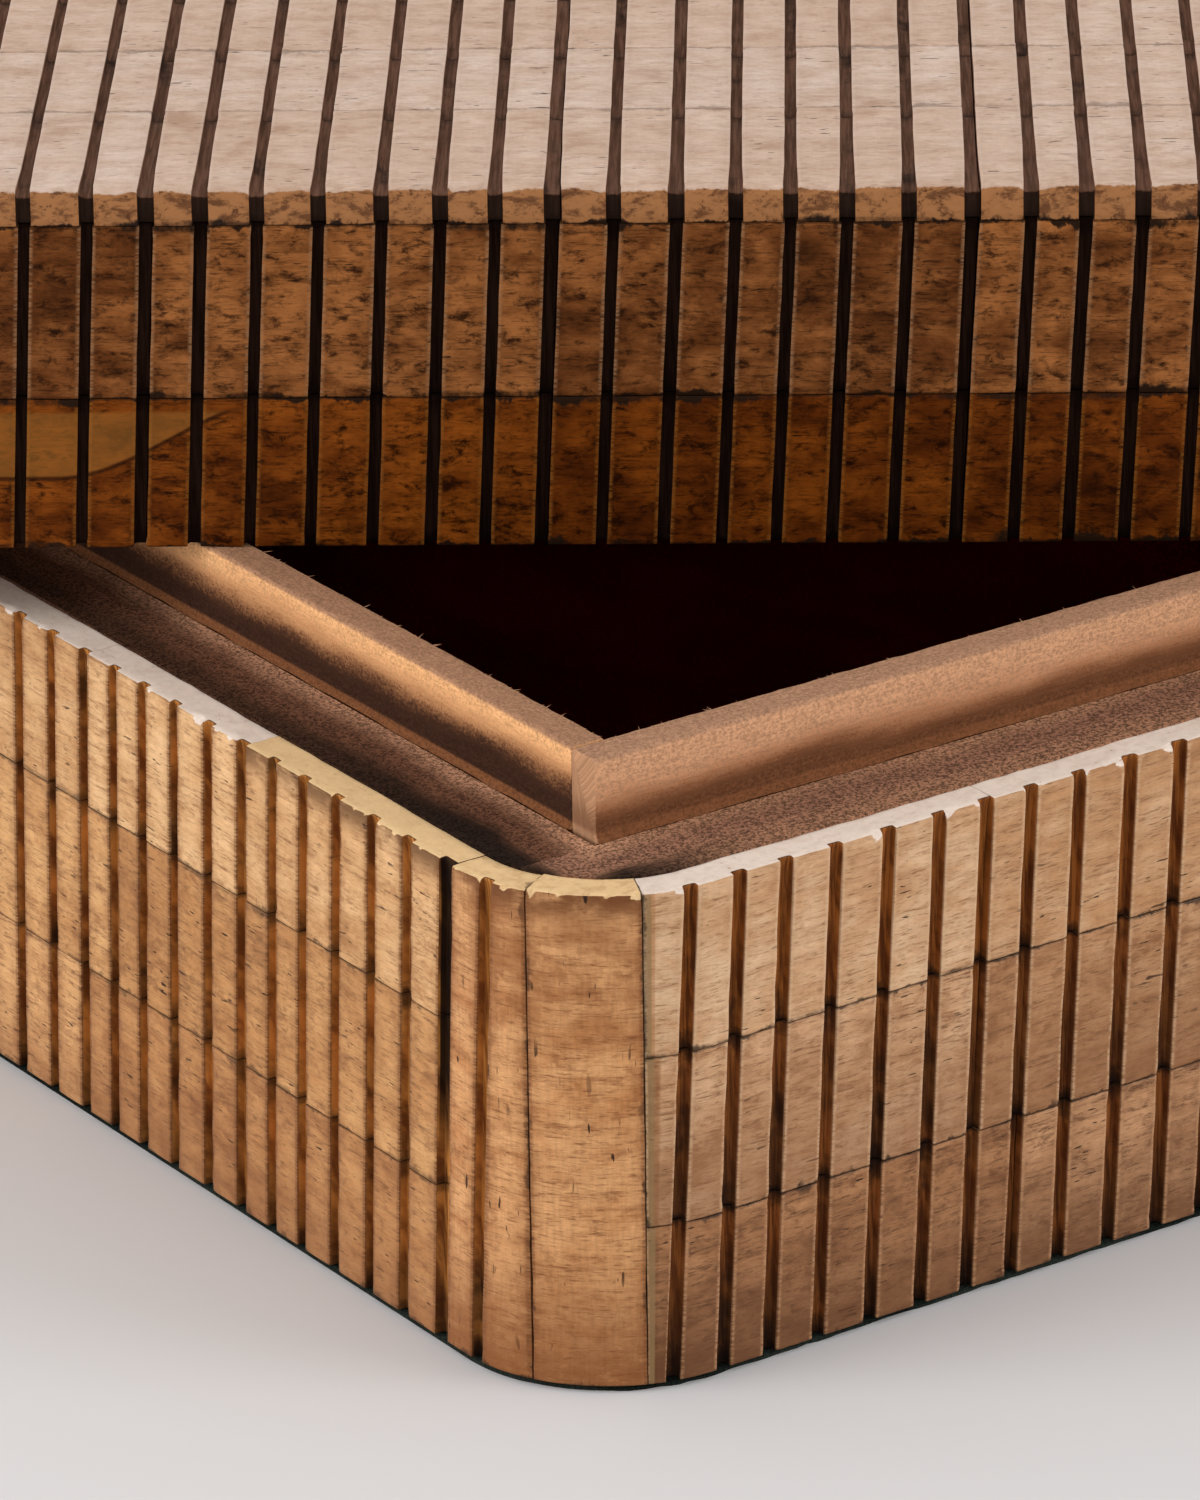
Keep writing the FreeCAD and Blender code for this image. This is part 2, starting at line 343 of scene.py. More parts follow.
def land(a, b, gap, crowd=0):
    """The face between two kerfs, its arrises eased. A station is its place, its depth, kerf
    0-1, nearness to a kerf (1 at the arris, a half where the bare edge ends), which way the
    edge gives, and the kerf that it belongs to."""
    count = max(1, round((b - a - 2 * PALE_EDGE) / gap))
    share = np.linspace(0, 1, count + 1)
    if crowd:
        share = 1 - np.cos(share * math.pi / 2)
    if crowd < 0:
        share = 1 - share[::-1]
    inner = a + PALE_EDGE + (b - a - 2 * PALE_EDGE) * share
    row = [[a, ARRIS_DROP, 0, 1, 1, a], [a + ARRIS, 0, 0, 1, 1, a]]
    for u in inner:
        past = min(u - a, b - u) - PALE_EDGE
        row.append([u, 0, 0, 0.5 * max(0, 1 - past / SCORCH_WIDTH), 0, 0])
    row[2][4:] = [EDGE_SIDE, a]
    row[-1][4:] = [-EDGE_SIDE, b]
    row += [[b - ARRIS, 0, 0, 1, -1, b], [b, ARRIS_DROP, 0, 1, -1, b]]
    return row


def stations(s0, s1, kerfs, gap, crowd=(0, 0)):
    """Stations along a tile, as columns of an array each. A kerf that ends a tile is cut in
    that tile, and the next tile's end is the kerf's side."""
    row = []
    at, end = s0 + HAIRLINE, s1 - HAIRLINE
    if any(abs(c + w / 2 - s0) < HAIRLINE for c, w in kerfs):
        row.append([at, KERF_DEPTH, 1, 0, 1, s0])
        at += SIDE_STEP
    ends_at_side = any(abs(c - w / 2 - s1) < HAIRLINE for c, w in kerfs)
    for centre, width in kerfs:
        left, right = centre - width / 2, centre + width / 2
        if right < at + HAIRLINE or left > end:
            continue
        if left < at:
            row.append([at, KERF_DEPTH, 1, 0, -1, left])
        else:
            row += land(at, left, gap, crowd[0] if at < s0 + PITCH / 2 else 0)
            row.append([left + KERF_SIDE, KERF_DEPTH - KERF_ROUND, 1, 0, -1, left])
            row.append([left + KERF_FLOOR, KERF_DEPTH, 1, 0, -1, left])
        if right > end:
            row.append([end, KERF_DEPTH, 1, 0, 1, right])
            return columns_of(row)
        row.append([right - KERF_FLOOR, KERF_DEPTH, 1, 0, 1, right])
        row.append([right - KERF_SIDE, KERF_DEPTH - KERF_ROUND, 1, 0, 1, right])
        at = right
    row += land(at, end - SIDE_STEP * ends_at_side, gap, crowd[1])
    if ends_at_side:
        row.append([end, KERF_DEPTH, 1, 0, -1, s1])
    return columns_of(row)


def columns_of(row):
    return [np.array(values, float)[:, None] for values in zip(*row)]


def levels(tall, gap):
    """Rows up a face as shares of the way, close together near both ends."""
    near = np.array(ROW_NEAR) * min(1.0, tall / 4)
    count = max(1, round((tall - 2 * near[-1]) / gap))
    middle = np.linspace(near[-1], tall - near[-1], count + 1)[1:-1]
    return np.concatenate([near, middle, (tall - near)[::-1]]) / tall


def arris_drop(rows, low_drop, high_drop):
    """How far each row gives way inwards, for the arris at both ends of the face."""
    give = np.zeros(rows)
    give[:len(low_drop)] = low_drop
    give[rows - len(high_drop):] = high_drop[::-1]
    return give[None, :]


def cut_wander(s, z, side, cut):
    """Saw cuts wander a little and their edges are frayed."""
    wander = WOBBLE * rough(cut * 0.37, z / 12, 25) + FRAY * rough(cut * 1.9, z * 1.3, 26)
    return s + wander * np.abs(side)


def lean_share(s, span, kerfs, open_ends):
    """How much of the saw's lean each station takes: none at an upright joint in a corner,
    all of it from the first kerf on."""
    sides = [c + side * w / 2 for c, w in kerfs for side in (-1, 1)]
    sides = [side for side in sides if span[0] + HAIRLINE < side < span[1] - HAIRLINE]
    share = np.ones_like(s)
    if open_ends[0]:
        share *= np.clip((s - span[0]) / (sides[0] - span[0]), 0, 1) if sides else 0
    if open_ends[1]:
        share *= np.clip((span[1] - s) / (span[1] - sides[-1]), 0, 1) if sides else 0
    return share


# ---- wall tiles ----

def plan(s, v, half):
    """Place on a wall's plan from the way along its face and the depth behind it.
    Past the flat of the wall the face turns round the corner."""
    bend = np.clip(np.abs(s) - half, 0, None) / CORNER_RADIUS
    reach = CORNER_RADIUS - SKIN_DEEP - v
    x = np.sign(s) * (np.minimum(np.abs(s), half) + reach * np.sin(bend))
    y = CORNER_RADIUS - reach * np.cos(bend)
    return x, y


def on_wall(wall, x, y):
    """Turns a place on a wall's plan to where that wall stands."""
    turn, _, across = WALLS[wall]
    return turned(x, y - across / 2, math.radians(turn))


def chips(s, row, least, seed):
    """Bites out of the arris of a rim, by the way along it."""
    return CHIP * np.clip(rough(s / CHIP_LENGTH, row, seed) - least, 0, 1)


def nicks(s, t, bare, seed):
    """Small bites out of the arrises beside a kerf."""
    return NICK * np.clip(2 * bare - 1, 0, 1) * np.clip(2 * rough(s * 3, t / 0.8, seed) - 0.3, 0, 1)


def over_rim(s, high, v, z, back):
    """Depths and heights across a rim, from its arris to the board behind it."""
    over_v = v[:, -1:] + (back - v[:, -1:]) * np.array(RIM_STEPS)[None, :]
    dish = RIM_DISH * (0.5 + 0.5 * rough(s / 1.7, over_v * 1.4, 32))
    over_z = np.maximum(high - dish, z[:, -1:])
    over_v = joined(over_v, back)
    return over_v, joined(over_z, over_z[:, -1:] - 0.05)


def add_tile(skin, wall, span, low, high, top, kerfs, number, ivory=0.0, rim=False,
             open_ends=(0, 0), dull=False, gap=CORNER_GAP):
    """One piece of bone on a wall. Kerfs are where they are at the level top. open_ends says
    which ends meet their neighbour in an upright hairline. dull marks a strip along its start."""
    s, deep, kerf, bare, side, cut = stations(*span, kerfs, gap)
    lean = KERF_LEAN * lean_share(s, span, kerfs, open_ends)
    low = low + HAIRLINE + 0 * s
    high = high - HAIRLINE + 0 * s
    if rim:
        high = high - 0.12 * pick(number, 3) - 0.06 * (1 + rough(s / 8, number, 11))
    share = levels(float((high - low).max()), ROW_GAP)[None, :]
    z = low + (high - RIM_SAG * rim - low) * share
    rows = share.shape[1]

    drop = arris_drop(rows, ROW_DROP, RIM_DROP if rim else ROW_DROP)
    at_rim = rim * np.clip(1 - (high - z) / RIM_REACH, 0, 1)
    chip = chips(s, number * CHIP_STEP, 0.15, 21)
    nick = nicks(s, z, bare, 22)
    ripple = RIPPLE * (1 + rough(s / 6, z / 5, 23 + number))
    deep = deep * (1 - rim * SHALLOW * np.exp((z - high) / SHALLOW_REACH))
    v = deep + (1 - kerf) * (drop + chip * at_rim + ripple) + nick
    v = v + kerf * (0.4 * drop + 0.015 * rough(s * 2, z / 4, 24))
    along = cut_wander(s, z, side, cut) + side * nick * 0.8 - lean * (top - z)
    z = z - chip * at_rim * 0.5 * (1 - kerf)

    back = BONE - BACK_GAP - BACK_ROUGH * (1 + rough(s / 2.3, number, 31))
    over_v, over_z = over_rim(s, high, v, z, back) if rim else (back, z[:, -1:])
    depths = joined(v, over_v, back)
    heights = joined(z, over_z, z[:, :1])
    over = np.repeat(along[:, -1:], over_v.shape[1], axis=1)
    along = joined(along, over, along[:, :1])
    x, y = on_wall(wall, *plan(along, depths, flat_half(wall)))

    joint = heights - low
    if not rim:
        joint = np.minimum(joint, high - heights)
    for is_open, end in zip(open_ends, span):
        if is_open:
            joint = np.minimum(joint, np.abs(along - end))
    unrolled = heights.copy()
    unrolled[:, rows:-1] += over_v - v[:, -1:]
    tops = np.zeros(heights.shape)
    tops[:, rows:] = rim
    tops[:, :rows] = rim * np.clip(2.4 / CHIP * chip * at_rim * (1 - kerf), 0, 1)
    tops[:, rows - 1] = np.maximum(tops[:, rows - 1], 0.6 * rim)
    charred = np.abs(np.abs(cut) - half_length(wall) + FLANK_JOINT) < JOINT_KERF
    in_kerf = kerf * (1 - tops) * (1 + CHARRED * charred * (wall not in LONG_WALLS))
    fresh = bare + 0 * heights
    fresh[:, :rows] += 0.3 * (1 - kerf) * at_rim
    tone = tone_of(number) + 2 * dull * (s - span[0] < DULL_STRIP)
    skin.bar(
        vector(x, y, heights),
        vector(along, unrolled, number * GRAIN_STEP),
        vector(in_kerf, joint, np.clip(fresh, 0, 1)),
        vector(tone, ivory * rim, tops))


def tone_of(number):
    return pick(number, TONE_SALT)


def ivory_of(number):
    """Some pieces of bone are ivory yellow where their rim is bare, the others pinkish."""
    return float(pick(number, IVORY_SALT) > 1 - IVORY_SHARE)


def add_course(skin, wall, kerfs, course, low, high, top, start, dull=False, **finish):
    """One course of tiles along a wall, counted from the upper one."""
    spans = course_spans(wall, kerfs, course)
    last = len(spans) - 1
    for i, span in enumerate(spans):
        ends = (i == 0 and wall in LONG_WALLS, i == last and wall in LONG_WALLS)
        add_tile(skin, wall, span, low, high, top, kerfs, start + i, ivory_of(start + i),
                 open_ends=ends, dull=dull and i == 0, **finish)


def add_end_tiles(skin, end, kerfs, low, high, start, **finish):
    """Both corner tiles at one end of the box, and the flank tiles beside them."""
    flank = half_length(end) - FLANK_JOINT + JOINT_KERF / 2
    bend = CORNER_RADIUS * SHORT_END_ANGLE
    front_side = 1 if end == "right" else -1
    for i, (wall, side) in enumerate((("front", front_side), ("back", -front_side))):
        near = flat_half(wall) + CORNER_RADIUS * LONG_END_ANGLE
        far = flat_half(wall) + CORNER_RADIUS * (math.pi / 2 - SHORT_END_ANGLE)
        span = sorted((side * near, side * far))
        add_tile(skin, wall, span, low, high, high, [], start + i, open_ends=(1, 1), **finish)
    for i, side in enumerate((-1, 1)):
        span = sorted((side * flank, side * (flat_half(end) + bend)))
        add_tile(skin, end, span, low, high, high, kerfs, start + 2 + i,
                 open_ends=(side < 0, side > 0), **finish)


# ---- top tiles of the lid ----

def corner_inset(x, half, radius):
    """How far the rounded outline has drawn in from its straight edge at x."""
    past = np.clip(np.abs(x) - (half - radius), 0, radius)
    return radius - np.sqrt(radius ** 2 - past ** 2)


def with_end(columns, at):
    """Adds the plain end face of the lid's top: one more station, nearly as deep as the tile."""
    place = len(columns[0]) if at else 0
    x = columns[0][at] + (HAIRLINE if at else -HAIRLINE)
    values = (x, BONE * 0.8, 0, 0, 0, 0, 1)
    return [np.insert(column, place, value, axis=0) for column, value in zip(columns, values)]


def add_top_tile(skin, span, front, back, kerfs, number):
    """One piece of bone on the lid's top, from front to back between two y levels."""
    half = LENGTH / 2 - TOP_INSET
    at_left, at_right = span[0] < HAIRLINE - half, span[1] > half - HAIRLINE
    columns = stations(*span, kerfs, TOP_GAP, (int(at_left), -int(at_right)))
    columns.append(0 * columns[0])
    if at_left:
        columns = with_end(columns, 0)
    if at_right:
        columns = with_end(columns, -1)
    x, deep, kerf, bare, side, cut, ends = columns
    first, last = front < -WIDTH / 2 + HAIRLINE, back > WIDTH / 2 - HAIRLINE
    inset = corner_inset(x, half, CORNER_RADIUS) + np.where(kerf > 0, deep, 0)
    y0 = front + HAIRLINE + first * inset
    y1 = back - HAIRLINE - last * inset

    share = levels(back - front, TOP_ROW_GAP)[None, :]
    y = y0 + (y1 - y0) * share
    rows = share.shape[1]
    drop = arris_drop(rows, RIM_DROP if first else ROW_DROP, RIM_DROP if last else ROW_DROP)
    edge = np.minimum(np.where(first, y - y0, 99), np.where(last, y1 - y, 99))
    at_rim = np.clip(1 - edge / RIM_REACH, 0, 1)
    chip = chips(x, number * CHIP_STEP + 2 * (y > 0), 0.1, 41)
    nick = nicks(x, y, bare, 42)
    ripple = RIPPLE * (1 + rough(x / 6, y / 7, 43 + number))
    v = deep + (1 - kerf) * (drop + chip * at_rim + ripple) + nick
    v = v + kerf * (0.5 * drop + 0.03 * rough(x * 2, y / 4, 44))
    flare = FLARE * np.exp(-edge / FLARE_REACH)
    along = cut_wander(x, y, side, cut) + side * (nick * 0.8 + flare * (cut != 0) * (1 - ends))
    along = np.clip(along, -half, half)
    push = chip * at_rim * 0.6 * (1 - kerf)
    y = y + np.where(y < 0, push, -push)
    z = LID_TOP - HAIRLINE * 0.2 - v

    band = np.array([0.04, 0.30, 0.75])[None, :]
    face = SKIRT_TOP + HAIRLINE + (z[:, :1] - SKIRT_TOP - HAIRLINE) * band
    face_back = SKIRT_TOP + HAIRLINE + (z[:, -1:] - SKIRT_TOP - HAIRLINE) * band[:, ::-1]
    lean = RIPPLE * (1 + rough(x / 5, face, 45)) * (1 - kerf) * 0.8
    ring_y = joined(y, y1 - lean * last, y1 - 0.1 * last, y0 + 0.1 * first, y0 + lean * first)
    under = SKIRT_TOP + 0 * x
    ring_z = joined(z, face_back, under, under, face)
    side_rows = band.shape[1] + 1
    end_x = np.repeat(along[:, -1:], side_rows, axis=1)
    start_x = np.repeat(along[:, :1], side_rows, axis=1)
    ring_x = joined(along, end_x, start_x)

    rims = np.zeros(ring_y.shape)
    rims[:, rows:] = 1
    rims[:, 0] = 0.35 * first
    rims = np.maximum(rims, ends)
    unrolled = ring_y.copy()
    unrolled[:, rows:] -= LID_TOP - ring_z[:, rows:]
    seam = np.minimum(np.where(first, 9, ring_y - y0), np.where(last, 9, y1 - ring_y))
    seam[:, rows:] = ring_z[:, rows:] - SKIRT_TOP
    fresh = bare + 0 * ring_y
    fresh[:, :rows] += (1 - kerf) * at_rim * (0.25 + 2.0 * chip)
    skin.bar(
        vector(ring_x, ring_y, ring_z),
        vector(ring_x, unrolled, number * GRAIN_STEP),
        vector(kerf, seam, np.clip(fresh, 0, 1)),
        vector(0.5 + TOP_TONES * (tone_of(number) - 0.5), 0, rims))


# ---- lip strips ----

STRIP_STEP = 0.9
FOOT_BEAD = 0.55
FIBRES_PER_MM = 0.9


def add_strip(skin, wall, half, number):
    """A liner strip on edge. Its section runs up the outer face, over the top and down."""
    count = round(2 * half / STRIP_STEP)
    s = np.linspace(-half + 0.06, half - 0.06, count)
    s = np.concatenate([[-half], s, [half]])[:, None]
    ends = np.zeros_like(s)
    ends[[0, -1]] = 1
    shrink = 0.10 * ends
    fray = 0.5 + 0.5 * rough(s / 0.8, number, 61)
    wave = 0.05 * rough(s / 14, number, 62)
    bead = FOOT_BEAD * (0.8 + 0.2 * rough(s / 3, number, 63)) * (1 - ends)
    outer, inner, foot, top = CORE_INSET, LIP_INSET, BASE_TOP, LIP_TOP
    section = (
        (outer + shrink, BOARD_TOP + shrink),
        (outer + shrink, foot - 0.25),
        (outer - bead, foot - 0.02),
        (outer - 0.55 * bead, foot + 0.16 + 0.1 * wave),
        (outer - 0.12 * bead, foot + 0.42 + 0.3 * wave),
        (outer + 0.02 + shrink, foot + 0.95 + wave),
        (outer + 0.04 + shrink + 0.5 * abs(wave), foot + 2.6),
        (outer + 0.05 + shrink + abs(wave), foot + 4.6),
        (outer + 0.05 + shrink + 0.5 * abs(wave), top - 0.75),
        (outer + 0.09 + shrink + 0.05 * fray, top - 0.30 - 0.06 * fray),
        (outer + 0.24 + shrink + 0.05 * fray, top - 0.08 - 0.04 * fray),
        (outer + 0.60, top - 0.02 - shrink - 0.03 * fray),
        (outer + 1.60, top - 0.05 - shrink - 0.04 * fray),
        (inner - 0.80, top - 0.02 - shrink - 0.05 * fray),
        (inner - 0.30, top - 0.04 - shrink - 0.10 * fray),
        (inner - 0.05 - 0.16 * fray, top - 0.22 - 0.15 * fray),
        (inner - shrink - 0.04 * fray, top - 1.1),
        (inner - shrink, foot),
        (inner - shrink, BOARD_TOP + shrink),
    )
    v = joined(*(a + 0 * s for a, _ in section))
    z = joined(*(b + 0 * s for _, b in section))
    x, y = on_wall(wall, s, v)
    runs = np.cumsum(np.hypot(np.diff(v[1], prepend=v[1, 0]), np.diff(z[1], prepend=z[1, 0])))
    skin.bar(
        vector(x, y, z),
        vector(s, runs[None, :], number * GRAIN_STEP),
        vector(v - outer, z - foot, 0),
        vector(0, 0, ends))
    for i in range(round(2 * half * FIBRES_PER_MM)):
        add_fibre(skin, wall, half, number * 1000 + i)


def add_fibre(skin, wall, half, number):
    """A torn fibre that stands out from the inner arris of a lip strip."""
    p = [pick(number, salt) for salt in range(6)]
    length = 0.15 + 0.75 * p[1] ** 3
    thick = 0.035 + 0.035 * p[2]
    t = np.array([0.0, 0.45, 1.0])[:, None]
    s = (2 * p[0] - 1) * (half - 1) + (p[3] - 0.5) * 1.6 * length * t
    v = LIP_INSET - 0.30 + (0.25 + length) * t
    z = LIP_TOP - 0.26 - 0.12 * p[4] + (p[5] - 0.45) * 0.30 * length * t ** 2
    angle = np.array([0, 120, 240])[None, :] * math.pi / 180
    radius = thick * np.array([1.0, 0.8, 0.12])[:, None]
    x, y = on_wall(wall, s + radius * np.cos(angle), v)
    skin.bar(
        vector(x, y, z + radius * np.sin(angle)),
        vector(s, v, number * 0.01),
        vector(LIP, 7.0, 0),
        vector(0, 0, 0))


# ---- cloth ----

VELVET_STEP = 4.0
FELT_STEP = 1.2
SLAB_ROWS = 60
EDGE_ROLL = 0.35
RAGGED = 0.15


def add_slab(skin, x_half, y_half, low, high, step, number, nap=0.10, radius=0):
    """A thin cloth lying flat. With a corner radius its corners are round and it is ragged."""
    count = round(2 * x_half / step)
    x = x_half * np.sin(np.linspace(-math.pi / 2, math.pi / 2, count))[:, None]
    reach = y_half + 0 * x
    if radius:
        reach = reach - RAGGED * (1 + rough(x / 1.3, 0, 83)) - corner_inset(x, x_half, radius)
    y = reach * np.sin(np.linspace(-math.pi / 2, math.pi / 2, SLAB_ROWS))[None, :]
    inside = np.minimum(x_half - np.abs(x), reach - np.abs(y))
    roll = (high - low) * 0.6 * np.exp(-np.clip(inside, 0, None) / EDGE_ROLL)
    swell = nap * (0.5 + 0.5 * rough(x / 11, y / 9, number)) + 0.3 * nap * rough(x / 2.5, y / 3, 71)
    z = high - np.clip(roll + swell, 0, (high - low) * 0.8)
    ring_y = joined(y, y[:, -1:], y[:, :1])
    ring_z = joined(z, low + 0 * x, low + 0 * x)
    skin.bar(
        vector(x, ring_y, ring_z),
        vector(x, ring_y, number),
        vector(0, 0, 0),
        vector(0, 0, 0))


# ---- materials ----

SOOT = (0.018, 0.008, 0.004)
CHAR = (0.007, 0.003, 0.002)
KERF_MOUTH = (0.010, 0.004, 0.002)
# Painted shade for the inner arris of the lip strips, which face the dark inside of the box.
ARRIS_SHADE = (0.012, 0.004, 0.003)
LEDGE_SHADE = (0.012, 0.007, 0.005)
PINK_AND_IVORY = ((0.76, 0.630, 0.535), (0.76, 0.515, 0.265))
WARM_PIECE = (0.94, 0.84, 0.74)
DULL = (0.25, 0.155, 0.070)
LET_IN = (0.265, 0.106, 0.021)
TOAST = (0.36, 0.135, 0.055)


def scaled(colour, factor):
    return tuple(min(1.0, factor * part) for part in colour)


class Paint:
    """A node material, built up coat by coat. Lengths in it are millimetres. place is where
    its noises are read, and colour is what it has come to so far."""

    def __init__(self, name, roughness, specular, **constants):
        self.material = bpy.data.materials.new(name)
        self.material.use_nodes = True
        tree = self.material.node_tree
        self.nodes, self.links = tree.nodes, tree.links
        self.shader = self.nodes["Principled BSDF"]
        self.shader.inputs["Roughness"].default_value = roughness
        self.shader.inputs["Specular IOR Level"].default_value = specular
        for socket, value in constants.items():
            self.shader.inputs[socket.replace("_", " ")].default_value = value
        self.place = None
        self.colour = None

    def feed(self, socket, value):
        if hasattr(value, "is_linked"):
            self.links.new(value, socket)
        elif isinstance(value, tuple) and len(value) == 3 and len(socket.default_value) == 4:
            socket.default_value = (*value, 1)
        else:
            socket.default_value = value

    def add(self, kind, inputs, out=0, **settings):
        node = self.nodes.new("ShaderNode" + kind)
        for key, value in settings.items():
            setattr(node, key, value)
        for key, value in inputs.items():
            self.feed(node.inputs[key], value)
        return node.outputs[out]

    def read(self, name):
        """A vector that the mesh carries, and its three parts."""
        carried = self.add("Attribute", {}, "Vector", attribute_name=name)
        node = self.add("SeparateXYZ", {0: carried}).node
        return carried, *node.outputs

    def math(self, operation, *values, clamp=False):
        inputs = dict(enumerate(values))
        return self.add("Math", inputs, operation=operation, use_clamp=clamp)

    def plus(self, a, b):
        return self.math("ADD", a, b)

    def less(self, a, b):
        return self.math("SUBTRACT", a, b)

    def times(self, *values):
        result = values[0]
        for value in values[1:]:
            result = self.math("MULTIPLY", result, value)
        return result

    def stretch(self, place, scale, shift=(0, 0, 0)):
        stretched = self.add("VectorMath", {0: place, 1: scale}, operation="MULTIPLY")
        return self.add("VectorMath", {0: stretched, 1: shift}, operation="ADD")

    def noise(self, scale, shift=(0, 0, 0), detail=2.0, roughness=0.5, distortion=0.0, over=None):
        """Noise with so many features to the millimetre, along the face and up it or in x, y
        and z."""
        place = self.stretch(over or self.place, (*scale, 1)[:3], shift)
        inputs = {"Vector": place, "Scale": 1.0, "Detail": detail, "Roughness": roughness,
                  "Distortion": distortion}
        return self.add("TexNoise", inputs, "Fac")

    def swing(self, noise, size):
        """A noise as a shift to either side of nothing."""
        return self.times(self.less(noise, 0.5), size)

    def step(self, value, low, high, start=0.0, end=1.0):
        """A smooth step from start to end as value goes from low to high."""
        inputs = {"Value": value, "From Min": low, "From Max": high, "To Min": start,
                  "To Max": end}
        return self.add("MapRange", inputs, interpolation_type="SMOOTHSTEP", clamp=True)

    def blend(self, share, a, b, mode="MIX"):
        node = self.add("Mix", {}, data_type="RGBA", blend_type=mode, clamp_result=False).node
        self.feed(node.inputs[0], share)
        self.feed(node.inputs[6], a)
        self.feed(node.inputs[7], b)
        return node.outputs[2]

    def shaded(self, colour, factor):
        """A colour made lighter or darker by a factor."""
        grey = self.add("CombineXYZ", {0: factor, 1: factor, 2: factor})
        return self.blend(1.0, colour, grey, "MULTIPLY")

    def coat(self, share, tint, mode="MIX"):
        self.colour = self.blend(share, self.colour, tint, mode)

    def shade(self, factor):
        self.colour = self.shaded(self.colour, factor)

    def finish(self, roughness=None, height=None, relief=0.0):
        self.feed(self.shader.inputs["Base Color"], self.colour)
        if roughness is not None:
            self.feed(self.shader.inputs["Roughness"], roughness)
        if height is not None:
            inputs = {"Strength": 1.0, "Distance": relief * MM, "Height": height}
            self.links.new(self.add("Bump", inputs), self.shader.inputs["Normal"])
        return self.material


class Bone(Paint):
    """Sawn bone under construction. These are the looks that a lot of bone may change."""

    specular = 0.12
    spread = 0.0            # widens the darks
    vary = 0.06             # how much the pieces differ
    blotch = 0.5
    streaks = 1.0
    hatch = 0.0             # hairlines across the grain
    scorch = 0.2            # darkening towards a kerf
    bare = None             # colour of the arris beside it, or else a lighter pale
    bare_edge = 0.5         # strength of that colour
    dash = (0.55, 3.4)      # sooty pores to the millimetre, along the face and up it
    dash_share = 0.69       # noise from which they show
    foot = (FELT, 8, 0.45)  # dirt at the foot: level, reach and strength
    head_shade = 0.0        # dirt towards the rim
    joint_dark = 0.85       # soot at a joint
    smeared = 0.0           # how much farther it goes in places
    below = None            # a level, and a tint for what is under it
    wedge = None            # a seam's level, and the depth, taper and tip of a piece let in
    rim = PINK_AND_IVORY    # bare rims, where ivory is 0 and where it is 1
    rim_spot = None         # colour of their spots, or else dark
    rim_mottle = 0.12       # strength of the large ones
    spots = 0.66            # noise from which the small ones show

    def __init__(self, name, pale, mid, dark, kerf, **look):
        self.pale, self.mid, self.dark, self.kerf = pale, mid, dark, kerf
        for key, value in look.items():
            setattr(self, key, value)
        super().__init__(name, roughness=0.45, specular=self.specular)
        self.place, self.along, self.up, _ = self.read("grain")
        _, self.cut, self.joint, self.near_kerf = self.read("marks")
        _, self.tone, self.ivory, self.is_rim = self.read("cast")
        self.patch = self.noise((0.20, 0.32), (31, 7, 2), 4, 0.62, 0.3)
        self.mottle = self.noise((0.50, 0.85), (13, 2, 6), 5, 0.72, 0.3)
        self.streak = self.noise((0.12, 1.35), (3, 50, 4), 5, 0.68, 0.15)
        self.fibre = self.noise((0.75, 5.5), (21, 9, 3), 3, 0.6, 0.1)
        self.fine = self.noise((1.4, 11.0), (9, 3, 8), 2, 0.6, 0.1)
        self.cross = self.noise((3.1, 0.35), (5, 1, 3), 3, 0.6, 0.5)
        self.smudge = self.noise((0.30, 0.20), (17, 5, 1), 4, 0.72)

    def near_joint(self, reach):
        """From 1 at a joint down to 0 at reach from it."""
        return self.math("SUBTRACT", 1.0, self.math("DIVIDE", self.joint, reach), clamp=True)


def stain(p):
    """The stain in the bone, from clouds down to the finest lines of the grain."""
    tone = p.math("MINIMUM", p.tone, 1.0)
    cloud = p.noise((0.050, 0.075), detail=3, roughness=0.6)
    depth = p.plus(p.times(cloud, 0.40), p.times(p.patch, 0.60))
    depth = p.plus(depth, p.math("MULTIPLY_ADD", tone, 0.16, p.spread - 0.08))
    p.colour = p.blend(p.step(depth, 0.36, 0.58), p.pale, p.mid)
    p.coat(p.step(depth, 0.53, 0.72, 0.0, 0.9), p.dark)
    p.coat(p.step(p.mottle, 0.50 - p.spread, 0.68, 0.0, p.blotch), p.dark)
    p.coat(p.step(tone, 0.2, 0.9), WARM_PIECE, "MULTIPLY")
    p.coat(p.step(p.streak, 0.50, 0.70, 0.0, 0.50 * p.streaks), p.dark)
    in_streak = p.step(p.streak, 0.38, 0.62, 0.25, 1.0)
    fibres = p.times(p.step(p.fibre, 0.53, 0.62), in_streak, 0.75 * p.streaks)
    p.coat(fibres, scaled(p.dark, 0.75))
    p.shade(p.step(p.streak, 0.28, 0.55, 1 + 0.12 * p.streaks, 1.0))
    p.shade(p.step(p.fine, 0.34, 0.68, 1.06, 0.92))
    p.shade(p.step(p.cross, 0.34, 0.68, 1.02 + p.hatch, 0.98 - p.hatch))
    p.shade(p.step(tone, 0.1, 0.9, 1 + p.vary, 1 - p.vary))


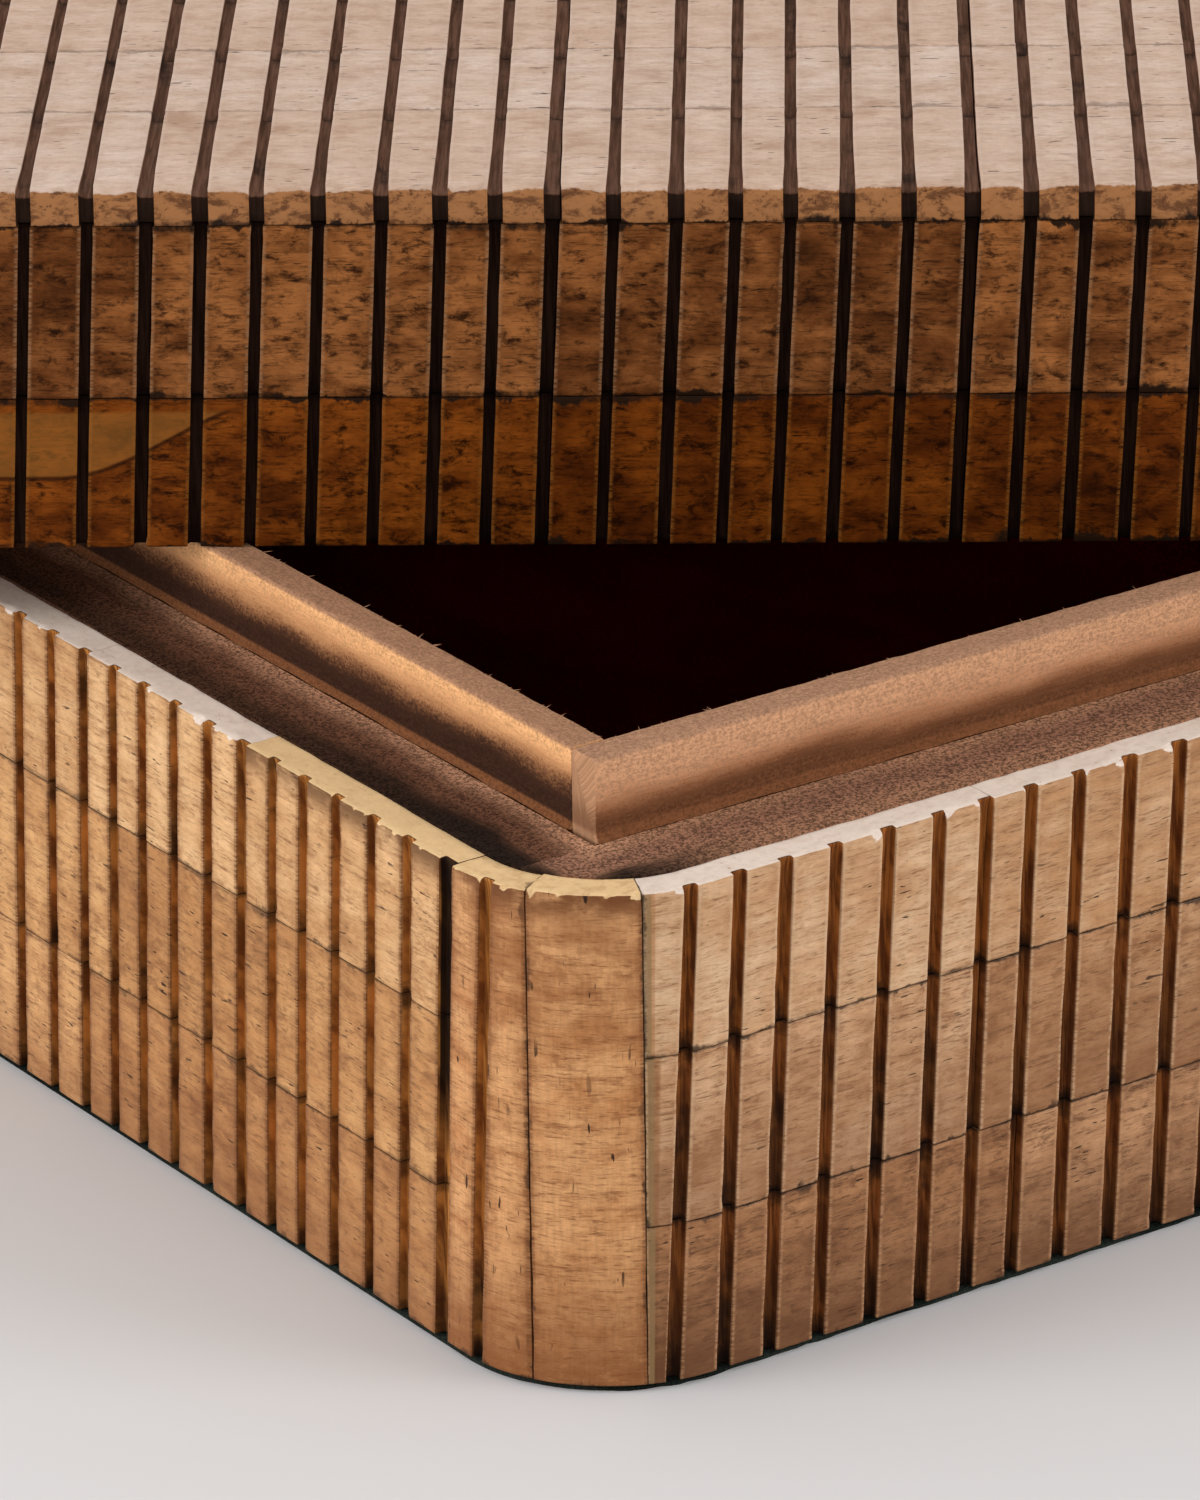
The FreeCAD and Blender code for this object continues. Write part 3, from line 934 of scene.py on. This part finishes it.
def wear(p):
    """Scorching beside the kerfs, dirt near the rim and the foot, pores and bare arrises."""
    burn = p.times(p.step(p.near_kerf, 0.05, 0.85), p.step(p.mottle, 0.30, 0.60, 0.4, 1.3))
    p.coat(p.times(burn, p.scorch), p.dark)
    uneven = p.step(p.patch, 0.34, 0.58, 0.2, 1.0)
    singe = p.times(p.step(p.up, BASE_TOP - 3.2, BASE_TOP - 0.5), p.ivory, uneven)
    p.coat(p.times(singe, 0.9), scaled(p.dark, 0.45))
    p.coat(p.times(p.step(p.up, BASE_TOP - 19, BASE_TOP - 4, 0.0, p.head_shade), uneven), p.dark)
    dashes = p.noise(p.dash, (11, 23, 5), 1.5, 0.45)
    flock = p.noise((0.13, 0.16), (2, 41, 9))
    p.pits = p.times(p.step(dashes, p.dash_share, p.dash_share + 0.04), p.step(flock, 0.42, 0.58))
    p.coat(p.times(p.pits, 0.92), SOOT)
    level, reach, share = p.foot
    p.at_foot = p.step(p.up, level, level + reach, share, 0.0)
    p.coat(p.times(p.at_foot, p.step(p.mottle, 0.05, 0.50)), p.dark)
    p.coat(p.step(p.tone, 1.3, 1.9, 0.0, 0.75), DULL)
    worn = p.times(p.step(p.near_kerf, 0.5, 0.95), p.step(p.fibre, 0.40, 0.60, 0.15, 1.0))
    p.coat(p.times(worn, p.bare_edge), p.bare or scaled(p.pale, 1.15))


def mend(p):
    """The tint under a seam, and the pale piece let in there with a dark line along it."""
    if p.below:
        level, tint = p.below
        p.coat(p.step(p.up, level - 0.1, level + 0.1, 1, 0), tint, "MULTIPLY")
    if p.wedge:
        level, deep, taper, tip = p.wedge
        above = p.less(p.up, p.step(p.along, taper, tip, level - deep, level))
        let_in = p.times(p.step(above, 0.0, 0.3), p.step(p.up, level - 1.0, level - 1.5), 0.50)
        p.coat(let_in, LET_IN)
        line = p.times(p.step(above, -0.35, -0.05), p.step(above, 0.35, 0.05), 0.75)
        p.coat(p.times(line, p.step(p.up, level - 0.6, level - 1.4)), p.dark)


def bare_rim(p):
    """Bare bone on a rim. Grit frays where it begins, and it has spots of two sizes."""
    grit = p.noise((1.1, 1.1), (8, 8, 8), 4, 0.72)
    frayed = p.math("MULTIPLY_ADD", grit, 0.6, p.less(p.is_rim, 0.3))
    p.is_rim = p.step(frayed, 0.38, 0.52)
    bare = p.shaded(p.blend(p.ivory, *p.rim), p.step(grit, 0.35, 0.70, 1.03, 0.93))
    large = p.step(p.mottle, 0.46, 0.62, 0, p.rim_mottle)
    small = p.step(grit, p.spots, p.spots + 0.06, 0, 0.8)
    for share in (large, small):
        bare = p.blend(share, bare, p.rim_spot or p.dark)
    p.coat(p.is_rim, bare)


def joint_soot(p):
    """Soot along the joints, which goes farther in places."""
    smear = p.noise((0.07, 0.02), (29, 3, 7), 1)
    reach = p.math("MULTIPLY_ADD", p.step(p.smudge, 0.52, 0.80), 1.5, 0.14)
    reach = p.plus(reach, p.step(smear, 0.53, 0.60, 0.0, p.smeared))
    near = p.math("MULTIPLY", p.near_joint(reach), 1 + 2 * p.smeared, clamp=True)
    stained = p.math("MULTIPLY_ADD", p.is_rim, 1 - p.joint_dark, p.joint_dark)
    p.coat(p.times(near, p.step(p.smudge, 0.36, 0.60, 0.10, 1.0), stained), SOOT)


def kerf_walls(p):
    """The dark inside of a kerf, with resin, soot and, beside the corner tiles, char."""
    resin = p.noise((3.4, 0.16), (4, 4, 4), 4, 0.6)
    deposit = p.noise((0.19, 0.11), (7, 4, 2), 4, 0.65)
    at_joint = p.near_joint(p.step(p.smudge, 0.4, 0.7, 0.4, 3.6))
    inside = p.blend(p.step(resin, 0.36, 0.66), *p.kerf)
    for share, tint in (
            (p.step(deposit, 0.54, 0.70, 0, 0.75), SOOT),
            (p.times(p.at_foot, p.step(deposit, 0.3, 0.5)), SOOT),
            (p.times(at_joint, min(0.92, 1.08 * p.joint_dark)), CHAR),
            (p.times(p.step(p.cut, 1.05, 2.0), p.step(p.up, 14, 26), 0.94), CHAR),
            (p.times(p.is_rim, 0.85), KERF_MOUTH)):
        inside = p.blend(share, inside, tint)
    p.in_kerf = p.step(p.cut, 0.04, 0.34)
    p.coat(p.in_kerf, inside)


def bone(name, *colours, **look):
    """Sawn bone, stained and lacquered. Its colours are pale, mid and dark, and a pair for the
    kerfs, darker and lighter."""
    p = Bone(name, *colours, **look)
    for layer in (stain, wear, mend, bare_rim, joint_soot, kerf_walls):
        layer(p)
    shine = p.math("MULTIPLY_ADD", p.in_kerf, 0.35, p.step(p.patch, 0.3, 0.7, 0.38, 0.55))
    height = p.plus(p.times(p.fine, 0.25), p.times(p.streak, 0.35))
    height = p.less(height, p.times(p.pits, 0.9))
    height = p.plus(height, p.times(p.cross, 0.10))
    return p.finish(shine, height, relief=0.06)


def liner(name, face, band, top, low, high, soft):
    """Bare wood with a scorched band along the face, from low to high above the ledge and this
    soft at its top. marks holds the way in from the outer face and the way up from the ledge."""
    p = Paint(name, roughness=0.85, specular=0.02)
    p.place, *_ = p.read("grain")
    _, across, up, _ = p.read("marks")
    *_, end = p.read("cast")
    fibres = p.noise((0.35, 5.0), detail=4, roughness=0.65)
    cloud = p.noise((0.08, 0.30), (5, 5, 5), 3)
    speck = p.noise((3.6, 4.2), (2, 9, 4), 3, 0.75)
    height = p.plus(up, p.plus(p.swing(cloud, 2.6), p.swing(speck, 4.6)))
    spray = p.step(height, high - soft, high + soft, 1, 0)
    spray = p.times(p.step(up, low - 0.35, low + 0.25), spray)
    p.colour = p.blend(p.step(height, high - 1.0, high + 2.8, 0.9, 0.0), face, TOAST)
    p.coat(p.times(spray, 0.97), band)
    p.coat(p.step(up, 6.7, 7.1, 0.0, 0.9), top)
    p.coat(p.step(up, low + 0.25, low - 0.15, 0.0, 0.9), scaled(TOAST, 0.45))
    p.shade(p.step(fibres, 0.3, 0.7, 1.08, 0.90))
    p.shade(p.step(speck, 0.38, 0.64, 1.22, 0.74))
    # Painted shade: near-black on the inner arris and the face below it, towards the dark inside of
    # the box.
    inner_arris = p.times(p.step(across, LIP - 0.6, LIP - 0.05), p.step(up, 6.9, 6.2))
    p.coat(inner_arris, ARRIS_SHADE)
    rings = p.noise((1.5, 6.0), detail=3)
    end_grain = p.shaded(scaled(face, 0.95), p.step(rings, 0.3, 0.7, 1.15, 0.70))
    p.coat(end, p.blend(p.times(spray, 0.55), end_grain, band))
    bumps = p.plus(p.times(fibres, 0.6), p.times(speck, 0.5))
    return p.finish(height=bumps, relief=0.12)


def carcase(name, beside, middle, foot, turn=0.0, fringe=None):
    """Plain wood boards. On the ledge the colour follows the way in from the bone: beside it,
    across the middle, and at the foot of the lip. fringe says how far from a corner the
    black beside the bone begins, and how far it is full."""
    p = Paint(name, roughness=0.78, specular=0.05)
    place = p.add("TexCoord", {}, "Object")
    place = p.add("VectorMath", {0: place, "Scale": 1 / MM}, operation="SCALE")
    if turn:
        place = p.add("VectorRotate", {"Vector": place, "Angle": turn}, rotation_type="Z_AXIS")
    p.place = place
    x, y, _ = p.add("SeparateXYZ", {0: place}).node.outputs
    from_end = p.less(LENGTH / 2, p.math("ABSOLUTE", x))
    from_side = p.less(WIDTH / 2, p.math("ABSOLUTE", y))
    inset = p.math("MINIMUM", from_end, from_side)
    along = p.math("MAXIMUM", from_end, from_side)
    on_end = p.step(p.less(from_side, from_end), -0.2, 0.2)
    lengthways = p.stretch(place, (0.16, 2.6, 0.35))
    crossways = p.stretch(place, (2.6, 0.16, 0.35))
    run = p.blend(on_end, lengthways, crossways)
    fibres = p.noise((1, 1, 1), detail=4, roughness=0.65, over=run)
    speck = p.noise((3.4, 3.4, 3.4), detail=3, roughness=0.78)
    cloud = p.noise((0.10, 0.10, 0.10), detail=3)
    depth = p.plus(p.less(inset, BONE), p.plus(p.swing(fibres, 3.0), p.swing(speck, 3.4)))
    depth = p.plus(depth, p.swing(cloud, 3.4))
    p.colour = p.blend(p.step(depth, 0.6, 3.4), beside, middle)
    p.coat(p.step(depth, 0.50 * LEDGE, 0.92 * LEDGE), foot)
    if fringe:
        black = p.times(p.step(depth, 2.8, 0.8), p.step(along, *fringe), 0.95)
        p.coat(black, LEDGE_SHADE)
    p.shade(p.step(fibres, 0.3, 0.7, 1.12, 0.88))
    p.shade(p.step(speck, 0.40, 0.60, 1.65, 0.42))
    bumps = p.plus(p.times(fibres, 0.6), p.times(speck, 0.5))
    return p.finish(height=bumps, relief=0.14)


def cloth(name, dark, light, pile, sheen):
    """Velvet or felt. pile is the tufts to the millimetre."""
    p = Paint(name, roughness=0.95, specular=0.0, Sheen_Weight=sheen, Sheen_Roughness=0.4,
              Sheen_Tint=(*light, 1))
    p.place, *_ = p.read("grain")
    nap = p.noise((pile, pile), detail=3, roughness=0.7)
    brushed = p.noise((0.06, 0.03), (6, 6, 6), detail=3, distortion=0.6)
    p.colour = p.blend(p.step(brushed, 0.35, 0.65), dark, light)
    p.shade(p.step(nap, 0.3, 0.7, 0.6, 1.4))
    return p.finish(height=nap, relief=0.25)


def floor_paint():
    """A pale studio floor. Its noise is read in metres."""
    p = Paint("floor", roughness=0.55, specular=0.25)
    p.place = p.add("TexCoord", {}, "Object")
    p.colour = p.blend(p.noise((1.5, 1.5, 1.5)), (0.725, 0.716, 0.718), (0.705, 0.696, 0.700))
    return p.finish()


# ---- the pieces ----

def settle(skin, name, paint, body, node):
    """The finished piece, the body it rides on and the node it stands for."""
    piece = skin.made(name, paint)
    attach(piece, body)
    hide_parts(node)
    return piece


def base_tiles(paints):
    for w, wall in enumerate(WALLS):
        kerfs = wall_kerfs(wall, BASE_KERF, BASE_ROWS)
        edges = [BASE_TOP] + [BASE_TOP - seam for seam in SEAMS[kind(wall)]] + [FELT]
        for c, course in enumerate(COURSES):
            rim = course == "upper"
            skin = Loops()
            add_course(skin, wall, kerfs, c, edges[c + 1], edges[c], BASE_TOP,
                       100 * (w + 1) + 20 * c, dull=wall == "front", rim=rim,
                       gap=RIM_GAP if rim else FACE_GAP)
            settle(skin, f"tiles_{wall}_{course}", paints[wall][course], "base",
                   f"base_bone_{wall}_{course}")


def corner_tiles(body, prefix, turn, paint, kerf, rows, low, high, start, **finish):
    for e, end in enumerate(ENDS):
        skin = Loops(turn)
        kerfs = wall_kerfs(end, kerf, rows)
        add_end_tiles(skin, end, kerfs, low, high, start + 10 * e, **finish)
        settle(skin, f"{prefix}tiles_corners_{end}", paint, body,
               f"{body}_bone_corners_{end}")


def lid_wall_tiles(paint, mended_paint):
    edges = (SKIRT_TOP, SKIRT_TOP - LID_SEAM, LIP_TOP)
    for w, wall in enumerate(WALLS):
        kerfs = wall_kerfs(wall, LID_KERF, LID_ROWS)
        skin = Loops(LID_TURN)
        for c in (0, 1):
            add_course(skin, wall, kerfs, c, edges[c + 1], edges[c], SKIRT_TOP,
                       700 + 40 * w + 20 * c, gap=FACE_GAP)
        finish = mended_paint if wall == "front" else paint
        settle(skin, f"lid_tiles_{wall}", finish, "lid", f"lid_bone_{wall}")


def lid_top_tiles(paint):
    kerfs = wall_kerfs("front", LID_KERF, LID_ROWS)
    edges = [-LENGTH / 2] + joint_places("front", kerfs, 0) + [LENGTH / 2]
    inner = np.linspace(TOP_END_ROW - WIDTH / 2, WIDTH / 2 - TOP_END_ROW, TOP_ROWS + 1)
    rows = [-WIDTH / 2, *inner.tolist(), WIDTH / 2]
    skin = Loops(LID_TURN)
    for i, span in enumerate(zip(edges, edges[1:])):
        for j, (front, back) in enumerate(zip(rows, rows[1:])):
            add_top_tile(skin, span, front, back, kerfs, 1000 + 20 * i + j)
    settle(skin, "lid_tiles_top", paint, "lid", "lid_bone_top")


def lip_strips(paints):
    for i, wall in enumerate(WALLS):
        inset = CORE_INSET if wall in LONG_WALLS else LIP_INSET
        skin = Loops()
        add_strip(skin, wall, half_length(wall) - inset, 50 + i)
        settle(skin, f"lip_strip_{wall}", paints[wall], "base", f"base_lip_{wall}")


def half_sizes(inset):
    return LENGTH / 2 - inset, WIDTH / 2 - inset


def floor_pad(velvet):
    x_half, y_half = half_sizes(LIP_INSET + PAD_GAP)
    skin = Loops()
    add_slab(skin, x_half, y_half, BOARD_TOP, BOARD_TOP + PAD, VELVET_STEP, 81)
    pad = settle(skin, "floor_velvet", velvet, "base", "base_floor_pad")


def lid_lining(velvet):
    """The lining is laid face up, then turned over under the lid's board."""
    x_half, y_half = half_sizes(CORE_INSET - LID_CLEARANCE + PAD_GAP)
    skin = Loops(LID_TURN)
    under = -LID_BOARD_UNDER
    add_slab(skin, x_half, y_half, under, under + PAD, VELVET_STEP, 82)
    for points in skin.points:
        points[:, 1:] *= -1
    lining = settle(skin, "lid_velvet", velvet, "lid", "lid_lining")


def foot_cloth(felt):
    x_half, y_half = half_sizes(FELT_INSET)
    skin = Loops()
    add_slab(skin, x_half, y_half, 0.0, FELT, FELT_STEP, 84, nap=0.0,
             radius=CORNER_RADIUS - FELT_INSET)
    foot = settle(skin, "foot_felt", felt, "base", "base_foot_felt")


def wooden_boards(dark_and_shadowed_base, base_warm, lid_wood):
    """The boards keep their CAD meshes and take a finish each, the dark one with painted lid
    shadow.
    """
    for name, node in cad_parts.items():
        paint = None
        if name in ("base_core_left", "base_core_back", "base_bottom_board"):
            paint = dark_and_shadowed_base
        elif name.startswith("base_core"):
            paint = base_warm
        elif name.startswith("lid_core") or name == "lid_top_board":
            paint = lid_wood
        if paint:
            node.data.materials.clear()
            node.data.materials.append(paint)


# ---- the studio ----

def camera():
    """The photograph's view, placed from the corner nearest to it."""
    turn = Matrix.Rotation(-CAM_YAW, 4, "Z")
    turn @= Matrix.Rotation(math.pi / 2 - CAM_ELEVATION, 4, "X")
    turn @= Matrix.Rotation(CAM_ROLL, 4, "Z")
    place = NEAR_CORNER + turn @ Vector((-CAM_RIGHT, -CAM_UP, CAM_DISTANCE))
    data = bpy.data.cameras.new("camera")
    data.sensor_fit = "VERTICAL"
    data.sensor_height = SENSOR
    data.lens = FOCAL_PX / IMAGE_HEIGHT_PX * SENSOR
    data.clip_start = 0.05
    data.clip_end = 40.0
    eye = placed("camera", data)
    eye.matrix_world = Matrix.Translation(place) @ turn
    bpy.context.scene.camera = eye


def softbox(name, place, size, power, aim=(0, 0, 0.04)):
    data = bpy.data.lights.new(name, "AREA")
    data.shape = "DISK"
    data.size = size
    data.energy = power
    lamp = placed(name, data)
    lamp.location = place
    lamp.rotation_euler = (Vector(aim) - Vector(place)).to_track_quat("-Z", "Y").to_euler()


def studio():
    half = 12.0
    mesh = bpy.data.meshes.new("floor")
    mesh.from_pydata([(-half, -half, 0), (half, -half, 0), (half, half, 0), (-half, half, 0)],
                     [], [(0, 1, 2, 3)])
    mesh.materials.append(floor_paint())
    floor = placed("floor", mesh)
    world = bpy.data.worlds.new("studio")
    world.use_nodes = True
    sky = world.node_tree.nodes["Background"]
    sky.inputs["Color"].default_value = (1, 1, 1, 1)
    sky.inputs["Strength"].default_value = 0.80
    bpy.context.scene.world = world
    softbox("right", (1.05, -1.40, 0.60), 1.0, 15)
    softbox("left", (-1.60, 0.55, 0.55), 1.0, 16)
    bpy.context.scene.view_settings.view_transform = "Standard"


# ---- the finishes, matched to the photograph ----

BROWN = ((0.110, 0.030, 0.006), (0.35, 0.115, 0.022))
UMBER = ((0.115, 0.032, 0.007), (0.34, 0.113, 0.026))
AMBER = ((0.165, 0.052, 0.011), (0.58, 0.232, 0.050))
BLACKENED = ((0.013, 0.0055, 0.003), (0.032, 0.014, 0.009))
COCOA = ((0.13, 0.060, 0.034), (0.26, 0.130, 0.080))
BURNT = (0.15, 0.058, 0.020)
TAN_RIM = ((0.35, 0.150, 0.055),) * 2
NO_FOOT = (0, 1, 0)


def front_bone():
    """The front and right walls, a pinkish brown."""
    return {
        "upper": bone("bone_front_upper", (0.61, 0.410, 0.255), (0.51, 0.300, 0.160),
                      (0.35, 0.170, 0.075), BROWN, blotch=0.35, streaks=1.2, smeared=0.25),
        "middle": bone("bone_front_middle", (0.60, 0.385, 0.228), (0.48, 0.270, 0.142),
                       (0.23, 0.100, 0.042), UMBER, foot=(15, 15, 0.65), blotch=0.6,
                       streaks=1.1, vary=0.12, smeared=0.25),
        "lower": bone("bone_front_lower", (0.51, 0.278, 0.143), (0.36, 0.182, 0.088),
                      (0.13, 0.052, 0.022), UMBER, foot=(FELT, 13, 0.75), blotch=0.7,
                      vary=0.10),
    }


def honey_bone():
    """The left and back walls, yellower and burnt beside the kerfs."""
    shades = {
        "upper": ((0.665, 0.408, 0.203), (0.548, 0.307, 0.137), (0.33, 0.150, 0.058), 0.06),
        "middle": ((0.64, 0.365, 0.158), (0.50, 0.255, 0.102), (0.26, 0.112, 0.043), 0.10),
        "lower": ((0.58, 0.315, 0.134), (0.46, 0.225, 0.090), (0.24, 0.098, 0.039), 0.10),
    }
    return {
        course: bone("bone_honey_" + course, *colours, AMBER, vary=vary, scorch=0.5, bare=BURNT,
                     bare_edge=0.75, blotch=0.65, joint_dark=0.6, smeared=0.30)
        for course, (*colours, vary) in shades.items()}


def corner_bone():
    """The corner and flank tiles of the base, hatched with short upright pores."""
    return bone("bone_corner", (0.58, 0.296, 0.126), (0.42, 0.178, 0.064),
                (0.21, 0.070, 0.021), AMBER, dash=(2.0, 0.34), dash_share=0.675, hatch=0.06,
                streaks=0.9, scorch=0.5, bare=BURNT, bare_edge=0.75, foot=(FELT, 15, 0.80),
                head_shade=0.45, rim_mottle=0.3, rim_spot=(0.36, 0.150, 0.045))


def skirt_bone(name, **mend):
    """The dark walls of the lid."""
    return bone(name, (0.28, 0.101, 0.029), (0.120, 0.037, 0.009), (0.017, 0.005, 0.0015),
                BLACKENED, rim=TAN_RIM, joint_dark=1.0, foot=NO_FOOT, specular=0.03,
                blotch=0.95, spread=0.02, bare=(0.34, 0.175, 0.085), bare_edge=0.6,
                streaks=0.8, vary=0.18, smeared=0.5, dash_share=0.72,
                below=(SKIRT_TOP - LID_SEAM, (0.72, 0.50, 0.18)), **mend)


# The lid's top: its pale pinkish colours are partly the bone's tone and partly a painted sheen of
# the lacquer.
def top_bone_and_sheen():
    return bone("bone_top", (0.66, 0.515, 0.432), (0.585, 0.430, 0.338), (0.415, 0.265, 0.185),
                COCOA, rim=TAN_RIM, foot=NO_FOOT, streaks=0.5, joint_dark=0.4, scorch=0.3,
                bare_edge=0.25, rim_spot=(0.085, 0.028, 0.010), spots=0.59, rim_mottle=0.8,
                smeared=0.4, vary=0.03)


def main():
    camera()
    studio()
    front, honey = front_bone(), honey_bone()
    base_tiles({"front": front, "right": front, "left": honey, "back": honey})
    corner_tiles("base", "", 0.0, corner_bone(), BASE_KERF, BASE_ROWS, FELT, BASE_TOP, 600,
                 rim=True, ivory=1.0, gap=RIM_GAP)
    skirt = skirt_bone("bone_skirt")
    lid_wall_tiles(skirt, skirt_bone("bone_skirt_mended", wedge=(SKIRT_TOP - LID_SEAM, *WEDGE)))
    corner_tiles("lid", "lid_", LID_TURN, skirt, LID_KERF, LID_ROWS, LIP_TOP, SKIRT_TOP, 900)
    lid_top_tiles(top_bone_and_sheen())

    warm = liner("lip_warm", face=(0.56, 0.295, 0.162), band=(0.135, 0.052, 0.023),
                 top=(0.37, 0.200, 0.120), low=0.6, high=2.7, soft=1.2)
    burnt = liner("lip_burnt", face=(0.76, 0.400, 0.182), band=(0.034, 0.015, 0.010),
                  top=(0.31, 0.162, 0.098), low=0.5, high=3.7, soft=1.35)
    lip_strips({"front": warm, "right": warm, "back": burnt, "left": burnt})
    wooden_boards(
        # The left and back boards: dark wood, with the lid's shadow on their ledges painted in.
        carcase("wood_dark_and_lid_shadow", (0.050, 0.022, 0.012), (0.110, 0.047, 0.026), (0.42, 0.215, 0.125),
                fringe=(65, 14)),
        carcase("wood_warm", (0.245, 0.120, 0.068), (0.210, 0.100, 0.061), (0.36, 0.185, 0.105),
                fringe=(25, 9)),
        carcase("wood_lid", (0.06, 0.026, 0.013), (0.12, 0.052, 0.025), (0.16, 0.075, 0.04),
                turn=-LID_TURN))
    velvet = cloth("velvet", (0.23, 0.004, 0.002), (0.34, 0.006, 0.003), 3.0, 0.03)
    floor_pad(velvet)
    lid_lining(velvet)
    # The felt is near-black: it is felt, and its thin dark edge at the foot is also painted contact
    # shadow.
    foot_cloth(cloth("felt", (0.010, 0.013, 0.011), (0.022, 0.027, 0.022), 4.0, 0.1))


main()
